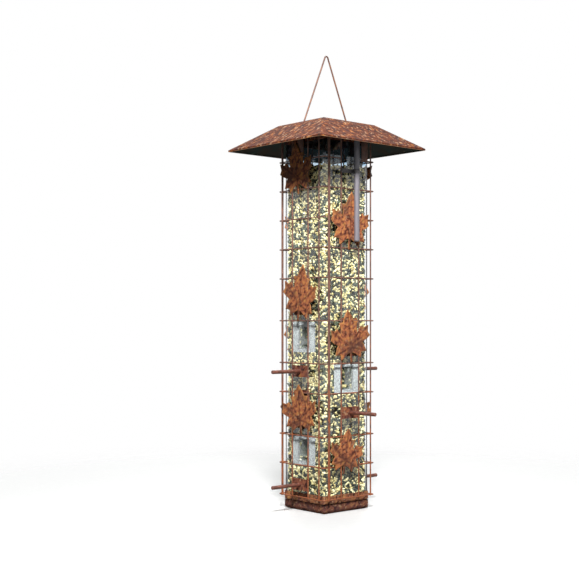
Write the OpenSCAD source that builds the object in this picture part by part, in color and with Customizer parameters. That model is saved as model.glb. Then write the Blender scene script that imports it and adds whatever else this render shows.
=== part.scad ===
// Weight-closing seed feeder: a clear square seed tube on a two-tier base, inside a sprung wire cage.
// The cage hangs from two springs with the sloping roof, the perches, the leaves and the port shutters.
// A weight on the cage pulls it down, and the shutters and leaves then cover the six feeding ports.
// Millimetres. The origin is the middle of the base's underside and +Z is up.
// Faces are counted from the front (-Y): 0 front, 1 right (+X), 2 back (+Y), 3 left (-X).

/* [Hopper] */
// Outer width of the clear square tube
tube_w = 88; // [84:1:90]
// Wall thickness of the clear tube
tube_wall = 2; // [1.5:0.5:3]
// Height of the clear tube
tube_h = 546; // [530:1:560]
// Corner radius of the clear tube
tube_corner_r = 3; // [2.5:0.5:6]
// Free space between the seed and the tube's top edge
seed_headroom = 64; // [62:1:110]
// Height of the heap that the seed ends in, above its level at the tube's walls
seed_heap_h = 7; // [0:1:8]

/* [Base] */
// Height of the lower tier of the base
foot_h = 13; // [11:1:18]
// Radius along the lower edge of the base
foot_edge_r = 6; // [3:1:8]
// Height of the groove between the two tiers
groove_h = 1.2; // [0.8:0.2:2]
// Depth of the groove between the two tiers
groove_depth = 2; // [1:0.5:3]
// Height of the upper tier of the base
cup_h = 11.8; // [10:0.2:16]
// Thickness of the upper tier's floor
cup_floor = 2; // [1.5:0.5:3]
// Wall of the metal skirts of the base and the lid
skirt_wall = 0.8; // [0.6:0.1:1]
// Distance from the base's middle to each of its screws, along X and Y
base_screw_at = 32; // [26:1:34]
// Radius of the base screws
base_screw_r = 1.8; // [1.5:0.1:2.2]
// Height of the base screws' heads
base_screw_head_h = 2.2; // [1.6:0.1:3]

/* [Feeding ports] */
// Width of a port's opening
port_open_w = 22; // [18:1:24]
// Height of a port's opening
port_open_h = 31; // [26:1:32]
// Width of the flange round a port
port_flange_w = 50; // [40:1:54]
// Height of the flange round a port
port_flange_h = 45; // [40:1:46]
// Thickness of the flange round a port
port_flange_t = 1.5; // [1:0.1:1.8]
// Wall of the hood that keeps the seed back
port_wall = 1.5; // [1:0.1:2]
// Depth of the hood behind the tube's face
port_depth = 16; // [12:1:20]
// Depth over which the hood is closed all round
port_sleeve = 6; // [3:1:10]
// Corner radius of the flange round a port
port_corner_r = 3; // [2:0.5:5]
// Free depth between a hood and the seed behind it
seed_clear = 2; // [1:0.5:4]
// Distance from the middle of an upper port to the wire above it
port_below_wire = 24; // [20:1:28]

/* [Lid and bail] */
// Height of the lid
lid_h = 24; // [20:1:30]
// Radius along the lid's top edges
lid_edge_r = 5; // [3:0.5:6]
// Thickness of the lid's top
lid_top_t = 1.5; // [1:0.1:3]
// How far the lid lifts up the bail
lid_lift = 70; // [40:5:80]
// Radius of the bail's wire
bail_wire_r = 1.2; // [1:0.1:1.4]
// Height above the lid at which the bail's two legs would meet
bail_rise = 113; // [90:1:140]
// Inner radius of the bail's bends
bail_bend_r = 3; // [2:0.5:5]
// Distance from the lid's lower edge down to the bail's hooks
bail_hook_below = 19; // [16:1:22]

/* [Wire cage] */
// Half the width of the cage between its horizontal wires' middles
cage_half = 50; // [49.6:0.1:52]
// Radius of the cage's wires
wire_r = 1; // [0.9:0.05:1.4]
// Depth of the weld where two wires cross
weld_depth = 0.25; // [0.15:0.05:0.4]
// Height of the lowest wire above the ground while the feeder is open
ring_z = 21; // [18:1:30]
// Height of the lowest bay, before all bays are stretched alike to fill the cage
first_bay = 47; // [46:1:50]
// Height of a short bay, before all bays are stretched alike
short_bay = 43.5; // [43:0.5:46]
// Height of a tall bay, before all bays are stretched alike
tall_bay = 62.5; // [60:0.5:66]
// Radius of the wires' bends at the cage's corners
cage_bend_r = 3; // [2:0.5:4]
// Distance from a face's middle to its inner upright wires
upright_inner = 17.6; // [16:0.1:20]
// Distance from a face's middle to its outer upright wires
upright_outer = 41.5; // [38:0.5:43]
// How far the cage drops under a weight
cage_travel = 55; // [50:1:57]

/* [Roof] */
// Half the width of the roof at its eave
eave_half = 104.5; // [95:0.5:115]
// Half the width of the roof at its top
roof_top_half = 50.8; // [50.4:0.1:54]
// Height of the sloping roof
roof_h = 36; // [30:1:44]
// Thickness of the roof's sheet
roof_t = 0.8; // [0.6:0.1:1]
// Height of the turned lip along the eave
eave_lip_h = 2.5; // [1:0.5:5]
// Height of the roof's top above the lid while the feeder is open
roof_over_lid = 4.65; // [3:0.05:8]
// Height of the roof's top above the topmost cage wire
roof_over_wire = 55.5; // [50:0.5:60]
// Width of the tabs that hook the roof to the cage
tab_w = 12; // [8:1:14]

/* [Perches] */
// Height of a perch's plate
perch_plate_h = 17; // [14:1:18]
// Thickness of a perch's plate
perch_plate_t = 1.2; // [1:0.1:1.6]
// Radius of a perch's rod
perch_rod_r = 2.75; // [2:0.25:4]
// Distance from the feeder's middle to the end of a perch
perch_reach = 105; // [85:1:115]
// Distance from the middle of a port down to its perch
perch_below = 50; // [46:1:51]

/* [Leaves and shutters] */
// Width of a leaf of the middle size
leaf_w = 76; // [70:1:80]
// Height of a leaf of the middle size
leaf_h = 78; // [72:1:82]
// Thickness of a leaf
leaf_t = 0.8; // [0.6:0.1:1]
// Height of the lower end of a leaf above the middle of its port
leaf_above_port = 23; // [22:1:26]
// Width of a shutter plate
shutter_w = 34; // [30:1:34]
// Height of a shutter plate above the wire that it is welded to
shutter_over_wire = 4; // [2:0.5:6]
// Thickness of a shutter plate
shutter_t = 0.8; // [0.6:0.1:0.9]

/* [Spring units] */
// Distance from a side face's middle to its spring unit
spring_offset = 8; // [5:0.5:9]
// Outer radius of the spring's tube
sleeve_r = 4; // [3.9:0.1:4.6]
// Wall of the spring's tube
sleeve_wall = 0.6; // [0.4:0.1:0.7]
// Length of the spring's tube below its cap
sleeve_h = 104; // [95:1:115]
// Height of the tube's open, slotted end above its cap
sleeve_guard_h = 42; // [20:1:46]
// Distance from the topmost cage wire down to the cap
sleeve_below_wire = 15; // [13:1:20]
// Radius of the hanging rod
rod_r = 1.2; // [1:0.1:1.3]
// Radius of the spring's wire
spring_wire_r = 0.5; // [0.4:0.05:0.6]
// Radius of the spring from its axis to the middle of its wire
spring_coil_r = 2.5; // [2.3:0.05:2.7]
// Curls of each spring
spring_curls = 20; // [12:1:26]

/* [Hidden] */
// Fineness of round surfaces
$fn = 32;
// Gap between pieces that lie on each other or are welded
touch_gap = 0.05;
// Gap between pieces that sit in each other
fit_gap = 0.15;
// Gap between pieces that slide past each other
run_gap = 0.35;
// Small overlap that makes a cut run right through a face
cut = 1;
// Thickness of the flat slices that a sloping body is drawn between
slice = 0.001;
// Corner radius of the small plates
plate_corner_r = 2;

tube_half = tube_w / 2;
cup_z = foot_h + groove_h;
tube_z = cup_z + cup_floor;
tube_top_z = tube_z + tube_h;
tube_inner_r = tube_corner_r / 2;
skirt_half = tube_half + fit_gap + skirt_wall;
seed_top_z = tube_top_z - seed_headroom;
seed_half = tube_half - tube_wall - fit_gap;

lid_cavity_z = tube_top_z + fit_gap;
lid_top_z = lid_cavity_z + lid_edge_r;
lid_bottom_z = lid_top_z - lid_h;
lid_half = tube_half + fit_gap + skirt_wall;
lid_slot_half = bail_wire_r + run_gap;

bail_leg_y = lid_half + run_gap + bail_wire_r;
bail_hook_z = lid_bottom_z - bail_hook_below;
bail_hook_in = 8;
bail_hook_up = 8;
bail_slope = atan2(bail_leg_y, bail_rise);

// The cage's height follows the lid's, and which of its bays are tall ones runs from the second bay up
roof_top_z = lid_top_z + roof_over_lid;
top_wire_z = roof_top_z - roof_over_wire;
bay_is_tall = [false, true, false, true, true, false, false, false, false];
bays = concat([first_bay], [for (t = bay_is_tall) t ? tall_bay : short_bay]);
function sum_to(v, n) = n == 0 ? 0 : v[n - 1] + sum_to(v, n - 1);
bay_stretch = (top_wire_z - ring_z) / sum_to(bays, len(bays));
level_z = [for (i = [0:len(bays)]) ring_z + bay_stretch * sum_to(bays, i)];
top_level = len(bays);
upright_out = cage_half + 2 * wire_r - weld_depth;
// Straight length of the front's and the back's wires after they have gone round a corner
bend_tail = 0.5;
corner_end = cage_half - cage_bend_r - bend_tail;
seam_gap = 0.2;

eave_z = roof_top_z - roof_h;
roof_slope = atan2(roof_h, eave_half - roof_top_half);
roof_run = roof_t / sin(roof_slope);
roof_hole_half = roof_top_half - roof_run;
// Height of the roof's underside at a distance from the feeder's middle
function roof_under_z(out) = roof_top_z - (out - roof_hole_half) * tan(roof_slope);
upright_top_z = roof_under_z(upright_out + wire_r) - run_gap;
tab_lip = 0.8;

port_low_z = (level_z[1] + level_z[2]) / 2;
port_side_z = (level_z[3] + level_z[4]) / 2;
port_high_z = level_z[5] - port_below_wire;

leaf_in = upright_out + wire_r + touch_gap;
shutter_in = cage_half - wire_r - touch_gap - shutter_t;
perch_plate_w = 2 * (upright_inner - wire_r - touch_gap);
perch_rivet_r = 1.5;
perch_head_t = 0.8;

sleeve_out = leaf_in + leaf_t + touch_gap + sleeve_r;
sleeve_top_z = top_wire_z - sleeve_below_wire;
sleeve_z = sleeve_top_z - sleeve_h;
sleeve_in_r = sleeve_r - sleeve_wall;
plug_rim = 1.5;
plug_depth = 3;
nut_h = 4;
nut_r = sleeve_in_r - 0.5;
nut_z = sleeve_z + plug_depth + run_gap;
spring_z = nut_z + nut_h;
spring_top_z = sleeve_top_z - plug_rim;
clip_h = 6;
clip_t = 0.9;
// The roof comes down onto the bent rods at the end of the cage's travel
rod_hook_z = roof_under_z(sleeve_out) - cage_travel - (rod_r + run_gap) / cos(roof_slope);
rod_hook_in = tube_half - 7;
rod_hook_up = 7;
rod_bend_r = 2.5;

// Name, face and height of each port, with its perch, and the level of the wire that holds its shutter
STATIONS = [
    ["front_upper", 0, port_high_z, 6],
    ["front_lower", 0, port_low_z, 3],
    ["right", 1, port_side_z, 5],
    ["back_upper", 2, port_high_z, 6],
    ["back_lower", 2, port_low_z, 3],
    ["left", 3, port_side_z, 5],
];

// Name, lower end, place across, width, height and tilt of the leaves of a front or back face.
// The place and the width are shares of leaf_w, and the height is a share of leaf_h.
FRONT_LEAVES = [
    ["top", level_z[9] - 0.1 * leaf_h, -0.08, 0.95, 1, 6],
    ["upper", port_high_z + leaf_above_port, 0.03, 0.97, 1.08, -8],
    ["lower", port_low_z + leaf_above_port, 0.01, 1.03, 0.95, 5],
];
// The same for a right or left face
SIDE_LEAVES = [
    ["top", level_z[7] - 0.03 * leaf_h, -0.01, 1, 1.1, -4],
    ["middle", port_side_z + leaf_above_port, -0.03, 1.03, 1, 6],
    ["low", level_z[0] + 0.46 * leaf_h, -0.12, 0.87, 0.85, -9],
];
SIDES = ["front", "right", "back", "left"];
function leaves_of(side) = side % 2 == 0 ? FRONT_LEAVES : SIDE_LEAVES;

// Right half of a leaf's outline in shares of its width and height, from the stalk to the tip
LEAF_EDGE = [
    [0.022, 0.00], [0.022, 0.19], [0.12, 0.15], [0.25, 0.06], [0.27, 0.17], [0.40, 0.17],
    [0.35, 0.30], [0.31, 0.35], [0.42, 0.40], [0.50, 0.46], [0.46, 0.54], [0.48, 0.66],
    [0.37, 0.62], [0.31, 0.66], [0.21, 0.55], [0.20, 0.64], [0.24, 0.76], [0.14, 0.77],
    [0.09, 0.88],
];

// Helpers

// Draws on a face: x runs across the face, y up, and z outwards from the distance given
module on_face(side, out, z) {
    rotate([0, 0, 90 * side]) translate([0, -out, z]) rotate([90, 0, 0]) children();
}

module rounded_rect(w, h, r) {
    square([w - 2 * r, h], center = true);
    square([w, h - 2 * r], center = true);
    for (x = [-1, 1])
        for (y = [-1, 1])
            translate([x * (w / 2 - r), y * (h / 2 - r)]) circle(r);
}

module square_post(half, z, h, r) {
    translate([0, 0, z]) linear_extrude(h) rounded_rect(2 * half, 2 * half, r);
}

// A square block whose lower edges, or upper ones, are rounded
module pillow(half, h, edge_r, corner_r, top_round) {
    intersection() {
        square_post(half, 0, h, corner_r);
        for_both_ways() pillow_run(half, h, edge_r, top_round);
    }
}

module for_both_ways() {
    intersection() {
        children();
        rotate([0, 0, 90]) children();
    }
}

module pillow_run(half, h, edge_r, top_round) {
    flip = top_round ? 1 : 0;
    translate([0, 0, flip * h])
        mirror([0, 0, flip])
            translate([0, half + cut, 0])
                rotate([90, 0, 0])
                    linear_extrude(2 * (half + cut)) {
                        translate([-half, edge_r]) square([2 * half, h - edge_r]);
                        translate([edge_r - half, 0]) square([2 * (half - edge_r), h]);
                        for (x = [-1, 1])
                            translate([x * (half - edge_r), edge_r]) circle(edge_r);
                    }
}

function unit(v) = v / norm(v);
function turn_at(p, q, s) = let (a = q - p, b = s - q) atan2(a.x * b.y - a.y * b.x, a * b);

// A round rod from one point of the drawing plane to another
module rod_between(p, q, r) {
    d = q - p;
    translate([p.x, p.y, 0]) rotate([0, 0, atan2(d.y, d.x)]) rotate([0, 90, 0]) cylinder(h = norm(d), r = r);
}

// A wire along points of the drawing plane, bent round to one radius at each corner between its ends
module bent_wire(points, bend_r, r) {
    last = len(points) - 1;
    turns = [for (i = [0:last]) i == 0 || i == last ? 0 : turn_at(points[i - 1], points[i], points[i + 1])];
    setback = [for (t = turns) bend_r * tan(abs(t) / 2)];
    for (i = [0:last - 1]) {
        run = unit(points[i + 1] - points[i]);
        rod_between(points[i] + run * setback[i], points[i + 1] - run * setback[i + 1], r);
    }
    for (i = [1:last - 1]) {
        before = unit(points[i] - points[i - 1]);
        after = unit(points[i + 1] - points[i]);
        centre = points[i] + unit(after - before) * (bend_r / cos(turns[i] / 2));
        start = points[i] + (turns[i] > 0 ? -before : after) * setback[i] - centre;
        translate([centre.x, centre.y, 0])
            rotate([0, 0, atan2(start.y, start.x)])
                rotate_extrude(angle = abs(turns[i])) translate([bend_r, 0]) circle(r);
    }
}

// Points of the drawing plane with each corner between the ends rounded by steps of at most 23 degrees
function rounded_points(points, bend_r) =
    let (last = len(points) - 1)
        concat([points[0]], [for (i = [1:last - 1]) each
            let (before = unit(points[i] - points[i - 1]), after = unit(points[i + 1] - points[i]))
            let (turn = turn_at(points[i - 1], points[i], points[i + 1]), steps = ceil(abs(turn) / 23))
            let (centre = points[i] + unit(after - before) * (bend_r / cos(turn / 2)))
            let (start = points[i] - before * bend_r * tan(abs(turn) / 2) - centre)
                [for (k = [0:steps]) let (a = turn * k / steps)
                    centre + [start.x * cos(a) - start.y * sin(a), start.x * sin(a) + start.y * cos(a)]]
        ], [points[last]]);

// A tube of flat sides along a path, with one ring of points at each point of the path.
// Each ring's first point lies towards the direction that the list of sides gives for it.
module swept_wire(path, towards, r, sides) {
    last = len(path) - 1;
    function along(i) = unit(path[min(i + 1, last)] - path[max(i - 1, 0)]);
    rings = [for (i = [0:last])
        let (t = along(i), u = unit(towards[i] - t * (towards[i] * t)), v = cross(t, u))
            for (k = [0:sides - 1]) let (a = 360 * k / sides) path[i] + r * (u * cos(a) + v * sin(a))];
    walls = [for (i = [0:last - 1]) for (k = [0:sides - 1])
        let (a = i * sides + k, b = i * sides + (k + 1) % sides)
            each [[a, a + sides, b], [b, a + sides, b + sides]]];
    start = [for (k = [1:sides - 2]) [0, k, k + 1]];
    end = [for (k = [1:sides - 2]) [last * sides, last * sides + k + 1, last * sides + k]];
    polyhedron(points = rings, faces = concat(walls, start, end), convexity = 10);
}

// Base

module base_foot() {
    color([0.45, 0.25, 0.18]) difference() {
        union() {
            pillow(skirt_half, foot_h, foot_edge_r, tube_corner_r, false);
            square_post(skirt_half - groove_depth, foot_h - cut, groove_h + cut, tube_corner_r);
        }
        at_base_screws() {
            translate([0, 0, -cut]) cylinder(h = cup_z + 2 * cut, r = base_screw_r + fit_gap);
            translate([0, 0, -cut]) cylinder(h = cut + foot_h / 2, r = 2 * base_screw_r + run_gap);
        }
    }
}

module at_base_screws() {
    for (x = [-1, 1])
        for (y = [-1, 1])
            translate([x * base_screw_at, y * base_screw_at, 0]) children();
}

module base_screws() {
    color([0.55, 0.5, 0.45]) at_base_screws() {
        translate([0, 0, foot_h / 2 - base_screw_head_h]) difference() {
            cylinder(h = base_screw_head_h, r = 2 * base_screw_r);
            translate([0, 0, -cut]) cylinder(h = cut + base_screw_head_h / 2, r = base_screw_r, $fn = 6);
        }
        translate([0, 0, foot_h / 2]) cylinder(h = cup_z + cup_floor / 2 - foot_h / 2, r = base_screw_r);
    }
}

module base_cup() {
    color([0.7, 0.38, 0.22]) difference() {
        square_post(skirt_half, cup_z, cup_h, tube_corner_r);
        square_post(tube_half + fit_gap, tube_z, cup_h, tube_corner_r);
        at_base_screws()
            translate([0, 0, cup_z - cut]) cylinder(h = cut + cup_floor / 2, r = base_screw_r + touch_gap);
    }
}

// Clear tube and its seed

module port_hole(z, side, gap, depth) {
    on_face(side, tube_half - depth, z)
        linear_extrude(depth + cut)
            square([port_open_w + 2 * (port_wall + gap), port_open_h + 2 * (port_wall + gap)], center = true);
}

module at_stations() {
    for (s = STATIONS) port_hole(s[2], s[1], fit_gap, port_depth);
}

module seed_tube() {
    color([0.75, 0.88, 0.95, 0.4]) difference() {
        square_post(tube_half, tube_z, tube_h, tube_corner_r);
        square_post(tube_half - tube_wall, tube_z - cut, tube_h + 2 * cut, tube_inner_r);
        at_stations();
        for (side = [0, 2])
            on_face(side, tube_half - 2 * tube_wall, bail_hook_z)
                cylinder(h = 3 * tube_wall, r = bail_wire_r + fit_gap);
        for (side = [1, 3])
            on_face(side, tube_half - 2 * tube_wall, rod_hook_z)
                translate([spring_offset, 0, 0]) cylinder(h = 3 * tube_wall, r = rod_r + fit_gap);
    }
}

module seed_fill() {
    color([0.9, 0.86, 0.62]) difference() {
        union() {
            square_post(seed_half, tube_z, seed_top_z - tube_z, tube_inner_r);
            seed_heap();
        }
        for (s = STATIONS) port_hole(s[2], s[1], 2 * fit_gap, port_depth + seed_clear);
    }
}

module seed_heap() {
    hull() {
        translate([0, 0, seed_top_z - slice])
            linear_extrude(slice) square(2 * (seed_half - tube_inner_r), center = true);
        translate([0, 0, seed_top_z + seed_heap_h - slice])
            linear_extrude(slice) square(seed_half / 2, center = true);
    }
}

// A port: its flange lies on the tube, and its hood reaches in and is open below at its inner end
module port(side, z) {
    outer = [port_open_w + 2 * port_wall, port_open_h + 2 * port_wall];
    color([0.8, 0.85, 0.88, 0.8]) difference() {
        union() {
            on_face(side, tube_half, z)
                linear_extrude(port_flange_t) rounded_rect(port_flange_w, port_flange_h, port_corner_r);
            on_face(side, tube_half - port_depth, z)
                linear_extrude(port_depth + port_flange_t / 2) square(outer, center = true);
        }
        on_face(side, tube_half - port_depth - cut, z)
            linear_extrude(port_depth + port_flange_t + 2 * cut)
                square([port_open_w, port_open_h], center = true);
        on_face(side, tube_half - port_depth - cut, z)
            linear_extrude(port_depth - port_sleeve + cut)
                translate([-port_open_w / 2, -port_open_h]) square([port_open_w, port_open_h]);
    }
}

// Lid and bail

module lid() {
    slot_reach = bail_leg_y - lid_lift * tan(bail_slope) - lid_slot_half / cos(bail_slope);
    cavity_half = tube_half + fit_gap;
    color([0.66, 0.36, 0.22]) difference() {
        translate([0, 0, lid_bottom_z]) pillow(lid_half, lid_h, lid_edge_r, tube_corner_r, true);
        square_post(cavity_half, lid_bottom_z - cut, lid_cavity_z - lid_bottom_z + cut, tube_corner_r);
        square_post(lid_half - lid_edge_r, lid_bottom_z, lid_h - lid_top_t, tube_corner_r);
        for (side = [0, 2])
            rotate([0, 0, 90 * side])
                translate([-lid_slot_half, -lid_half - cut, lid_bottom_z - cut])
                    cube([2 * lid_slot_half, lid_half + cut - slot_reach, lid_h + 2 * cut]);
    }
}

module bail() {
    hook = [tube_half - bail_hook_in, bail_hook_z];
    shoulder = [bail_leg_y, lid_top_z];
    path = [hook + [0, bail_hook_up], hook, [bail_leg_y, bail_hook_z], shoulder];
    flipped = [for (i = [len(path) - 1:-1:0]) [-path[i].x, path[i].y]];
    apex = [0, lid_top_z + bail_rise];
    middle_line = [for (p = rounded_points(concat(path, [apex], flipped), bail_bend_r)) [0, p.x, p.y]];
    color([0.42, 0.3, 0.25])
        swept_wire(middle_line, [for (p = middle_line) [1, 0, 0]], bail_wire_r, 12);
}

// Cage: two bent pieces of welded wire mesh that meet at doubled uprights, drawn face by face

module upright(side, across) {
    rotate([0, 0, 90 * side])
        translate([across, -upright_out, ring_z - wire_r])
            cylinder(h = upright_top_z - ring_z + wire_r, r = wire_r);
}

// The front's and the back's wires run round both corners
module corner_wire(side, z) {
    ends = [[cage_half, -corner_end], [-cage_half, -corner_end]];
    rotate([0, 0, 90 * side]) translate([0, 0, z])
        bent_wire([ends[0], [cage_half, -cage_half], [-cage_half, -cage_half], ends[1]], cage_bend_r, wire_r);
}

module side_wire(side, z, from, to) {
    rotate([0, 0, 90 * side]) translate([0, 0, z]) rod_between([from, -cage_half], [to, -cage_half], wire_r);
}

module cage_face(side) {
    color([0.5, 0.36, 0.3]) {
        for (z = level_z) corner_wire(side, z);
        for (across = [-upright_outer, -upright_inner, upright_inner, upright_outer]) upright(side, across);
    }
}

// The right and left faces have the seams, and their topmost wire is open round the hanging rod
module cage_seam_face(side) {
    end = corner_end - touch_gap;
    step = wire_r + touch_gap;
    bay = upright_inner + wire_r;
    seam = [-upright_outer - step, -upright_outer + step];
    color([0.5, 0.36, 0.3]) {
        for (i = [0:top_level]) {
            side_wire(side, level_z[i], -end, -upright_outer - seam_gap / 2);
            if (i < top_level) {
                side_wire(side, level_z[i], -upright_outer + seam_gap / 2, end);
            } else {
                side_wire(side, level_z[i], -upright_outer + seam_gap / 2, -bay);
                side_wire(side, level_z[i], bay, end);
            }
        }
        for (across = concat(seam, [-upright_inner, upright_inner, upright_outer])) upright(side, across);
    }
}

// Roof

// Four panels of folded sheet, each with a lip along its eave, that meet at the hips
module roof() {
    profile = [
        [-roof_hole_half, roof_top_z],
        [-roof_top_half, roof_top_z],
        [-eave_half, eave_z],
        [-eave_half, eave_z - eave_lip_h],
        [roof_t - eave_half, eave_z - eave_lip_h],
        [roof_t - eave_half, roof_under_z(eave_half - roof_t)],
    ];
    color([0.62, 0.32, 0.22]) for (side = [0:3])
        rotate([0, 0, 90 * side]) intersection() {
            rotate([90, 0, 90]) translate([0, 0, -eave_half]) linear_extrude(2 * eave_half) polygon(profile);
            hip_wedge();
        }
}

// The front quarter of the space about the feeder's middle line, cut off at both hips
module hip_wedge() {
    apex = touch_gap / sqrt(2);
    reach = eave_half + cut;
    translate([0, 0, eave_z - eave_lip_h - cut])
        linear_extrude(roof_h + eave_lip_h + 2 * cut)
            polygon([[0, -apex], [-reach, -apex - reach], [reach, -apex - reach]]);
}

// Tabs that hook under the topmost wire and end against the roof's underside
module roof_tabs() {
    tab_out = cage_half + wire_r + touch_gap;
    lip_z = top_wire_z - wire_r - touch_gap - tab_lip;
    across = (upright_inner + upright_outer) / 2;
    color([0.5, 0.36, 0.3]) intersection() {
        roof_space();
        for (place = [[0, 0], [1, across], [2, 0], [3, across]])
            rotate([0, 0, 90 * place[0]]) translate([place[1] - tab_w / 2, 0, lip_z]) {
                translate([0, -tab_out - tab_lip, 0]) cube([tab_w, tab_lip, roof_h + roof_over_wire]);
                translate([0, -tab_out - tab_lip, 0]) cube([tab_w, tab_lip + 2 * wire_r, tab_lip]);
            }
    }
}

// The space under the roof, with its sides drawn on downwards
module roof_space() {
    drop = roof_over_wire;
    hull() {
        translate([0, 0, roof_top_z - drop])
            linear_extrude(slice) square(2 * (roof_hole_half + drop / tan(roof_slope)), center = true);
        translate([0, 0, roof_top_z - slice])
            linear_extrude(slice) square(2 * roof_hole_half, center = true);
    }
    translate([0, 0, roof_top_z - 2 * drop]) linear_extrude(drop) square(2 * eave_half, center = true);
}

// Perches

module perch_plate(side, port_z) {
    color([0.6, 0.33, 0.25]) on_face(side, upright_out - perch_plate_t / 2, port_z - perch_below)
        linear_extrude(perch_plate_t) difference() {
            rounded_rect(perch_plate_w, perch_plate_h, plate_corner_r);
            circle(perch_rivet_r + touch_gap);
        }
}

module perch_rod(side, port_z) {
    face = upright_out + perch_plate_t / 2;
    chamfer = 0.6;
    color([0.45, 0.28, 0.24]) {
        on_face(side, face, port_z - perch_below) {
            cylinder(h = perch_reach - face - chamfer, r = perch_rod_r);
            translate([0, 0, perch_reach - face - chamfer])
                cylinder(h = chamfer, r1 = perch_rod_r, r2 = perch_rod_r - chamfer);
            translate([0, 0, -perch_plate_t]) cylinder(h = perch_plate_t + cut, r = perch_rivet_r);
            translate([0, 0, -perch_plate_t - perch_head_t]) cylinder(h = perch_head_t, r = perch_rod_r);
        }
    }
}

// Shutters and leaves

// A shutter stands one drop above its port and reaches up to the wire that it is welded to
module shutter(side, port_z, wire_z) {
    low = port_z + cage_travel - port_flange_h / 2;
    high = wire_z + shutter_over_wire;
    color([0.5, 0.3, 0.22]) on_face(side, shutter_in, (low + high) / 2)
        linear_extrude(shutter_t) rounded_rect(shutter_w, high - low, plate_corner_r);
}

module leaf(side, low, across, w, h, tilt) {
    right_side = [for (p = LEAF_EDGE) [p.x * w, p.y * h]];
    left_side = [for (i = [len(LEAF_EDGE) - 1:-1:0]) [-LEAF_EDGE[i].x * w, LEAF_EDGE[i].y * h]];
    color([0.72, 0.37, 0.22]) on_face(side, leaf_in, low)
        translate([across, h / 2, 0]) rotate(tilt) translate([0, -h / 2, 0])
            linear_extrude(leaf_t) polygon(concat(right_side, [[0, h]], left_side));
}

// Spring units

module at_spring(side, z) {
    rotate([0, 0, 90 * side]) translate([spring_offset, -sleeve_out, z]) children();
}

module hanging_rod(side) {
    inner = [-rod_hook_in, rod_hook_z];
    corner = [-sleeve_out, rod_hook_z];
    color([0.6, 0.58, 0.55]) rotate([0, 0, 90 * side]) translate([spring_offset, 0, 0]) rotate([90, 0, 90])
        bent_wire([inner + [0, rod_hook_up], inner, corner, [-sleeve_out, nut_z + 0.5]], rod_bend_r, rod_r);
}

module rod_nut(side) {
    color([0.6, 0.58, 0.55]) at_spring(side, nut_z) difference() {
        cylinder(h = nut_h, r = nut_r, $fn = 6);
        translate([0, 0, -cut]) cylinder(h = nut_h + 2 * cut, r = rod_r + touch_gap);
    }
}

// The bent rod stands in the slot of the tube's upper end, which faces the feeder
module spring_sleeve(side) {
    full_h = sleeve_h + sleeve_guard_h;
    slot_half = rod_r + run_gap;
    color([0.58, 0.57, 0.56]) at_spring(side, sleeve_z) difference() {
        cylinder(h = full_h, r = sleeve_r);
        translate([0, 0, -cut]) cylinder(h = full_h + 2 * cut, r = sleeve_in_r);
        translate([-slot_half, 0, sleeve_h + plug_rim])
            cube([2 * slot_half, sleeve_r + cut, sleeve_guard_h]);
    }
}

module stopper(rim, depth, bore) {
    difference() {
        union() {
            cylinder(h = rim, r = sleeve_r);
            translate([0, 0, rim / 2]) cylinder(h = rim / 2 + depth, r = sleeve_in_r - touch_gap);
        }
        translate([0, 0, -cut]) cylinder(h = rim + depth + 2 * cut, r = bore);
    }
}

module sleeve_caps() {
    color([0.4, 0.38, 0.36]) for (side = [1, 3]) at_spring(side, spring_top_z) difference() {
        cylinder(h = plug_rim, r = sleeve_in_r - touch_gap);
        translate([0, 0, -cut]) cylinder(h = plug_rim + 2 * cut, r = rod_r + run_gap);
    }
}

module sleeve_plugs() {
    color([0.4, 0.38, 0.36]) for (side = [1, 3])
        at_spring(side, sleeve_z - plug_rim) stopper(plug_rim, plug_depth, rod_r + run_gap);
}

// A band round the sleeve on a bar that lies on the two inner uprights
module sleeve_clips() {
    bar_half = upright_inner + wire_r;
    color([0.45, 0.42, 0.4]) for (side = [1, 3]) {
        at_spring(side, sleeve_top_z - clip_h) difference() {
            cylinder(h = clip_h, r = sleeve_r + clip_t);
            translate([0, 0, -cut]) cylinder(h = clip_h + 2 * cut, r = sleeve_r + touch_gap);
        }
        rotate([0, 0, 90 * side]) difference() {
            translate([-bar_half, -leaf_in - clip_t, sleeve_top_z - clip_h])
                cube([2 * bar_half, clip_t, clip_h]);
            translate([spring_offset, -sleeve_out, sleeve_top_z - clip_h - cut])
                cylinder(h = clip_h + 2 * cut, r = sleeve_r + clip_t / 2);
        }
    }
}

// The middle line of a spring: a straight start, an even helix and a straight end
spring_len = spring_top_z - spring_z;
spring_tail = 2 * spring_wire_r;
rings_per_curl = 8;
helix_steps = spring_curls * rings_per_curl;
helix_rise = (spring_len - 2 * spring_tail) / helix_steps;
function helix_at(i) = let (a = 360 * i / rings_per_curl)
    [spring_coil_r * cos(a), spring_coil_r * sin(a), spring_tail + i * helix_rise];
spring_path = concat(
    [[spring_coil_r, 0, 0]],
    [for (i = [0:helix_steps]) helix_at(i)],
    [helix_at(helix_steps) + [0, 0, spring_tail]]
);
// The least gap between points of neighbouring curls, less the wire's thickness
spring_self_gap = min([for (i = [0:helix_steps - rings_per_curl + 1])
    for (j = [i + rings_per_curl - 2:min(i + rings_per_curl + 2, helix_steps)])
        norm(helix_at(j) - helix_at(i))]) - 2 * spring_wire_r;

module spring(side) {
    echo(spring_self_gap = spring_self_gap);
    outwards = [for (p = spring_path) [p.x, p.y, 0]];
    color([0.7, 0.7, 0.72]) at_spring(side, spring_z) swept_wire(spring_path, outwards, spring_wire_r, 6);
}

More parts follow.
